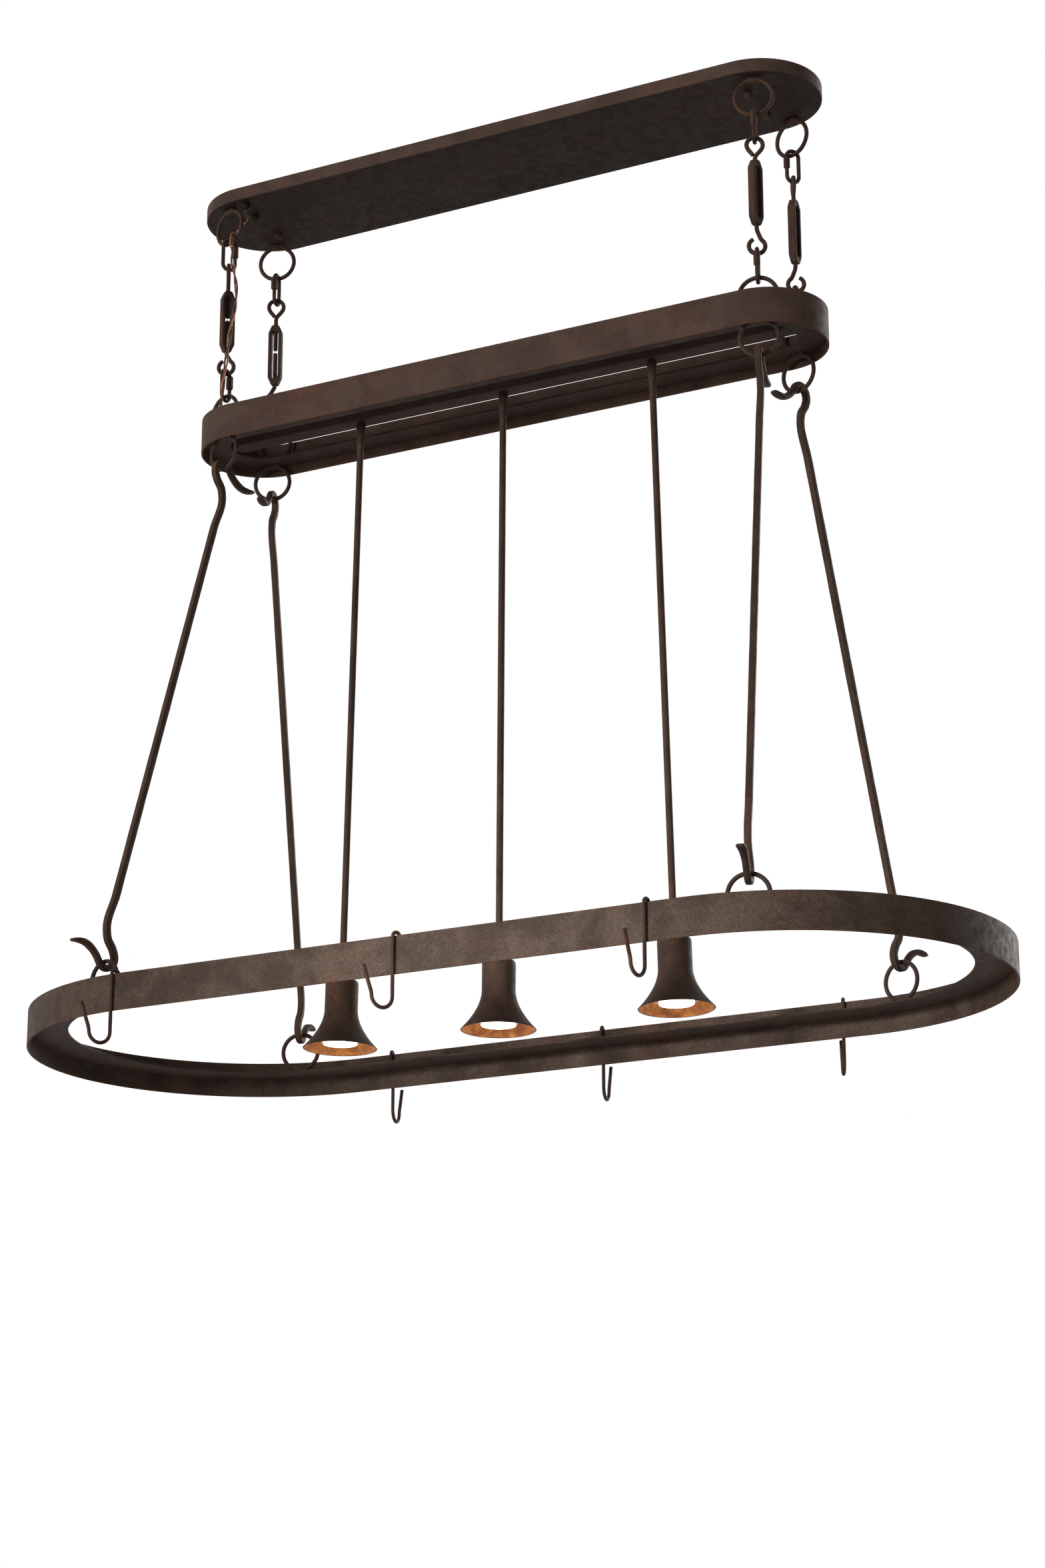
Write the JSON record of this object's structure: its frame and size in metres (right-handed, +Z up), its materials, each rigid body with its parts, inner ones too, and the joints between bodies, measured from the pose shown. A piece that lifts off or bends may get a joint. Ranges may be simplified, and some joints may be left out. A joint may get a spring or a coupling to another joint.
{
  "type": "hanging pot rack",
  "caption": "Oval pot rack hung by rods from a smaller oval frame with pendant downlights, on adjustable chains from an oval ceiling pan.",
  "frame": {"origin": "middle of the ceiling pan's open top, on the ceiling", "axes": "+X along the rack, +Y across it towards the back, +Z up"},
  "size_m": [1.5, 0.748, 1.4171],
  "materials": {
    "bronze_paint": "matt dark brown paint with a faint rust-orange mottle",
    "zinc_steel": "zinc-plated steel",
    "black_plastic": "black nylon",
    "socket_ceramic": "glazed white lampholder",
    "lamp_glass": "frosted lit reflector lamp",
    "cord_jacket": "brown and clear copper two-wire cord"
  },
  "bodies": {
    "root": {"ceiling_pan": "bronze_paint", "mounting_bar_left": "zinc_steel", "mounting_bar_right": "zinc_steel", "cap_nut_fl": "bronze_paint", "cap_nut_fr": "bronze_paint", "cap_nut_bl": "bronze_paint", "cap_nut_br": "bronze_paint", "cord_grip": "black_plastic", "supply_cord": "cord_jacket", "pan_ring_fl": "bronze_paint", "pan_ring_fr": "bronze_paint", "pan_ring_bl": "bronze_paint", "pan_ring_br": "bronze_paint"},
    "upper_link_fl": {"upper_link_fl": "bronze_paint"},
    "upper_eye_bolt_fl": {"upper_eye_bolt_fl": "bronze_paint"},
    "turnbuckle_body_fl": {"turnbuckle_body_fl": "bronze_paint"},
    "lower_eye_bolt_fl": {"lower_eye_bolt_fl": "bronze_paint"},
    "lower_link_fl": {"lower_link_fl": "bronze_paint"},
    "upper_link_fr": {"upper_link_fr": "bronze_paint"},
    "upper_eye_bolt_fr": {"upper_eye_bolt_fr": "bronze_paint"},
    "turnbuckle_body_fr": {"turnbuckle_body_fr": "bronze_paint"},
    "lower_eye_bolt_fr": {"lower_eye_bolt_fr": "bronze_paint"},
    "lower_link_fr": {"lower_link_fr": "bronze_paint"},
    "upper_link_bl": {"upper_link_bl": "bronze_paint"},
    "upper_eye_bolt_bl": {"upper_eye_bolt_bl": "bronze_paint"},
    "turnbuckle_body_bl": {"turnbuckle_body_bl": "bronze_paint"},
    "lower_eye_bolt_bl": {"lower_eye_bolt_bl": "bronze_paint"},
    "lower_link_bl": {"lower_link_bl": "bronze_paint"},
    "upper_link_br": {"upper_link_br": "bronze_paint"},
    "upper_eye_bolt_br": {"upper_eye_bolt_br": "bronze_paint"},
    "turnbuckle_body_br": {"turnbuckle_body_br": "bronze_paint"},
    "lower_eye_bolt_br": {"lower_eye_bolt_br": "bronze_paint"},
    "lower_link_br": {"lower_link_br": "bronze_paint"},
    "middle_frame": {"middle_band": "bronze_paint", "middle_flange": "bronze_paint", "wireway": "bronze_paint", "stem_left": "bronze_paint", "shade_left": "bronze_paint", "lamp_socket_left": "socket_ceramic", "lamp_left": "lamp_glass", "stem_middle": "bronze_paint", "shade_middle": "bronze_paint", "lamp_socket_middle": "socket_ceramic", "lamp_middle": "lamp_glass", "stem_right": "bronze_paint", "shade_right": "bronze_paint", "lamp_socket_right": "socket_ceramic", "lamp_right": "lamp_glass"},
    "rod_fl": {"rod_fl": "bronze_paint"},
    "rod_fr": {"rod_fr": "bronze_paint"},
    "rod_bl": {"rod_bl": "bronze_paint"},
    "rod_br": {"rod_br": "bronze_paint"},
    "lower_frame": {"lower_band": "bronze_paint", "lower_flange": "bronze_paint"},
    "pot_hook_1": {"pot_hook_1": "bronze_paint"},
    "pot_hook_2": {"pot_hook_2": "bronze_paint"},
    "pot_hook_3": {"pot_hook_3": "bronze_paint"},
    "pot_hook_4": {"pot_hook_4": "bronze_paint"},
    "pot_hook_5": {"pot_hook_5": "bronze_paint"},
    "pot_hook_6": {"pot_hook_6": "bronze_paint"}
  },
  "joints": [
    {"name": "chain_swing_y_fl", "type": "hinge", "parent": "root", "child": "upper_link_fl", "pos_m": [-0.45, -0.071, -0.08015], "axis": [1, 0, 0], "range_deg": [-8, 8]},
    {"name": "chain_swing_x_fl", "type": "hinge", "parent": "upper_link_fl", "child": "upper_eye_bolt_fl", "pos_m": [-0.45, -0.071, -0.12465], "axis": [0, 1, 0], "range_deg": [-8, 8]},
    {"name": "turnbuckle_turn_fl", "type": "hinge", "parent": "upper_eye_bolt_fl", "child": "turnbuckle_body_fl", "pos_m": [-0.45, -0.071, -0.21405], "axis": [0, 0, 1], "range_deg": [-430, 4980]},
    {"name": "chain_length_fl", "type": "slide", "parent": "upper_eye_bolt_fl", "child": "lower_eye_bolt_fl", "axis": [0, 0, -1], "range_m": [-0.003, 0.035], "deforming": ["supply_cord"]},
    {"name": "chain_foot_x_fl", "type": "hinge", "parent": "lower_eye_bolt_fl", "child": "lower_link_fl", "pos_m": [-0.45, -0.071, -0.29615], "axis": [0, 1, 0], "range_deg": [-8, 8], "deforming": ["supply_cord"]},
    {"name": "chain_swing_y_fr", "type": "hinge", "parent": "root", "child": "upper_link_fr", "pos_m": [0.45, -0.071, -0.08015], "axis": [1, 0, 0], "range_deg": [-8, 8]},
    {"name": "chain_swing_x_fr", "type": "hinge", "parent": "upper_link_fr", "child": "upper_eye_bolt_fr", "pos_m": [0.45, -0.071, -0.12465], "axis": [0, 1, 0], "range_deg": [-8, 8]},
    {"name": "turnbuckle_turn_fr", "type": "hinge", "parent": "upper_eye_bolt_fr", "child": "turnbuckle_body_fr", "pos_m": [0.45, -0.071, -0.20605], "axis": [0, 0, 1], "range_deg": [-430, 4980]},
    {"name": "chain_length_fr", "type": "slide", "parent": "upper_eye_bolt_fr", "child": "lower_eye_bolt_fr", "axis": [0, 0, -1], "range_m": [-0.003, 0.035]},
    {"name": "chain_foot_x_fr", "type": "hinge", "parent": "lower_eye_bolt_fr", "child": "lower_link_fr", "pos_m": [0.45, -0.071, -0.29615], "axis": [0, 1, 0], "range_deg": [-8, 8]},
    {"name": "chain_swing_y_bl", "type": "hinge", "parent": "root", "child": "upper_link_bl", "pos_m": [-0.45, 0.071, -0.08015], "axis": [1, 0, 0], "range_deg": [-8, 8]},
    {"name": "chain_swing_x_bl", "type": "hinge", "parent": "upper_link_bl", "child": "upper_eye_bolt_bl", "pos_m": [-0.45, 0.071, -0.12465], "axis": [0, 1, 0], "range_deg": [-8, 8]},
    {"name": "turnbuckle_turn_bl", "type": "hinge", "parent": "upper_eye_bolt_bl", "child": "turnbuckle_body_bl", "pos_m": [-0.45, 0.071, -0.21405], "axis": [0, 0, 1], "range_deg": [-430, 4980]},
    {"name": "chain_length_bl", "type": "slide", "parent": "upper_eye_bolt_bl", "child": "lower_eye_bolt_bl", "axis": [0, 0, -1], "range_m": [-0.003, 0.035]},
    {"name": "chain_foot_x_bl", "type": "hinge", "parent": "lower_eye_bolt_bl", "child": "lower_link_bl", "pos_m": [-0.45, 0.071, -0.29615], "axis": [0, 1, 0], "range_deg": [-8, 8]},
    {"name": "chain_swing_y_br", "type": "hinge", "parent": "root", "child": "upper_link_br", "pos_m": [0.45, 0.071, -0.08015], "axis": [1, 0, 0], "range_deg": [-8, 8]},
    {"name": "chain_swing_x_br", "type": "hinge", "parent": "upper_link_br", "child": "upper_eye_bolt_br", "pos_m": [0.45, 0.071, -0.12465], "axis": [0, 1, 0], "range_deg": [-8, 8]},
    {"name": "turnbuckle_turn_br", "type": "hinge", "parent": "upper_eye_bolt_br", "child": "turnbuckle_body_br", "pos_m": [0.45, 0.071, -0.20605], "axis": [0, 0, 1], "range_deg": [-430, 4980]},
    {"name": "chain_length_br", "type": "slide", "parent": "upper_eye_bolt_br", "child": "lower_eye_bolt_br", "axis": [0, 0, -1], "range_m": [-0.003, 0.035]},
    {"name": "chain_foot_x_br", "type": "hinge", "parent": "lower_eye_bolt_br", "child": "lower_link_br", "pos_m": [0.45, 0.071, -0.29615], "axis": [0, 1, 0], "range_deg": [-8, 8]},
    {"name": "middle_frame_swing_y", "type": "hinge", "parent": "lower_link_fl", "child": "middle_frame", "pos_m": [-0.45, -0.071, -0.34065], "axis": [1, 0, 0], "range_deg": [-8, 8], "deforming": ["supply_cord"]},
    {"name": "rod_swing_fl", "type": "hinge", "parent": "middle_frame", "child": "rod_fl", "pos_m": [-0.45, -0.071, -0.46135], "axis": [1, 0, 0], "range_deg": [-5, 5]},
    {"name": "rod_swing_fr", "type": "hinge", "parent": "middle_frame", "child": "rod_fr", "pos_m": [0.45, -0.071, -0.46135], "axis": [1, 0, 0], "range_deg": [-5, 5]},
    {"name": "rod_swing_bl", "type": "hinge", "parent": "middle_frame", "child": "rod_bl", "pos_m": [-0.45, 0.071, -0.46135], "axis": [1, 0, 0], "range_deg": [-5, 5]},
    {"name": "rod_swing_br", "type": "hinge", "parent": "middle_frame", "child": "rod_br", "pos_m": [0.45, 0.071, -0.46135], "axis": [1, 0, 0], "range_deg": [-5, 5]},
    {"name": "lower_frame_tilt", "type": "hinge", "parent": "rod_fl", "child": "lower_frame", "pos_m": [-0.5, -0.268, -1.27885], "axis": [1, 0, 0], "range_deg": [-5, 5]},
    {"name": "pot_hook_slide_1", "type": "slide", "parent": "lower_frame", "child": "pot_hook_1", "axis": [0.9962, -0.0872, 0], "range_m": [-0.03, 0.012]},
    {"name": "pot_hook_slide_2", "type": "slide", "parent": "lower_frame", "child": "pot_hook_2", "axis": [1, 0, 0], "range_m": [-0.08, 0.08]},
    {"name": "pot_hook_slide_3", "type": "slide", "parent": "lower_frame", "child": "pot_hook_3", "axis": [1, 0, 0], "range_m": [-0.08, 0.03]},
    {"name": "pot_hook_slide_4", "type": "slide", "parent": "lower_frame", "child": "pot_hook_4", "axis": [1, 0, 0], "range_m": [-0.04, 0.08]},
    {"name": "pot_hook_slide_5", "type": "slide", "parent": "lower_frame", "child": "pot_hook_5", "axis": [1, 0, 0], "range_m": [-0.08, 0.08]},
    {"name": "pot_hook_slide_6", "type": "slide", "parent": "lower_frame", "child": "pot_hook_6", "axis": [1, 0, 0], "range_m": [-0.08, 0.03]}
  ],
  "couplings": [
    {"joint": "chain_swing_x_fl", "follows": "chain_foot_x_fl", "ratio": -1},
    {"joint": "chain_swing_x_fr", "follows": "chain_foot_x_fl", "ratio": -1},
    {"joint": "chain_foot_x_fr", "follows": "chain_foot_x_fl", "ratio": 1},
    {"joint": "chain_swing_x_bl", "follows": "chain_foot_x_fl", "ratio": -1},
    {"joint": "chain_foot_x_bl", "follows": "chain_foot_x_fl", "ratio": 1},
    {"joint": "chain_swing_x_br", "follows": "chain_foot_x_fl", "ratio": -1},
    {"joint": "chain_foot_x_br", "follows": "chain_foot_x_fl", "ratio": 1},
    {"joint": "chain_swing_y_fl", "follows": "middle_frame_swing_y", "ratio": -1},
    {"joint": "chain_swing_y_fr", "follows": "middle_frame_swing_y", "ratio": -1},
    {"joint": "chain_swing_y_bl", "follows": "middle_frame_swing_y", "ratio": -1},
    {"joint": "chain_swing_y_br", "follows": "middle_frame_swing_y", "ratio": -1},
    {"joint": "turnbuckle_turn_fl", "follows": "chain_length_fl", "rad_per_m": 2473.7},
    {"joint": "chain_length_fr", "follows": "chain_length_fl", "ratio": 1},
    {"joint": "turnbuckle_turn_fr", "follows": "chain_length_fl", "rad_per_m": 2473.7},
    {"joint": "chain_length_bl", "follows": "chain_length_fl", "ratio": 1},
    {"joint": "turnbuckle_turn_bl", "follows": "chain_length_fl", "rad_per_m": 2473.7},
    {"joint": "chain_length_br", "follows": "chain_length_fl", "ratio": 1},
    {"joint": "turnbuckle_turn_br", "follows": "chain_length_fl", "rad_per_m": 2473.7},
    {"joint": "rod_swing_fr", "follows": "rod_swing_fl", "ratio": 1},
    {"joint": "rod_swing_bl", "follows": "rod_swing_fl", "ratio": 1},
    {"joint": "rod_swing_br", "follows": "rod_swing_fl", "ratio": 1},
    {"joint": "lower_frame_tilt", "follows": "rod_swing_fl", "ratio": -0.26493}
  ]
}
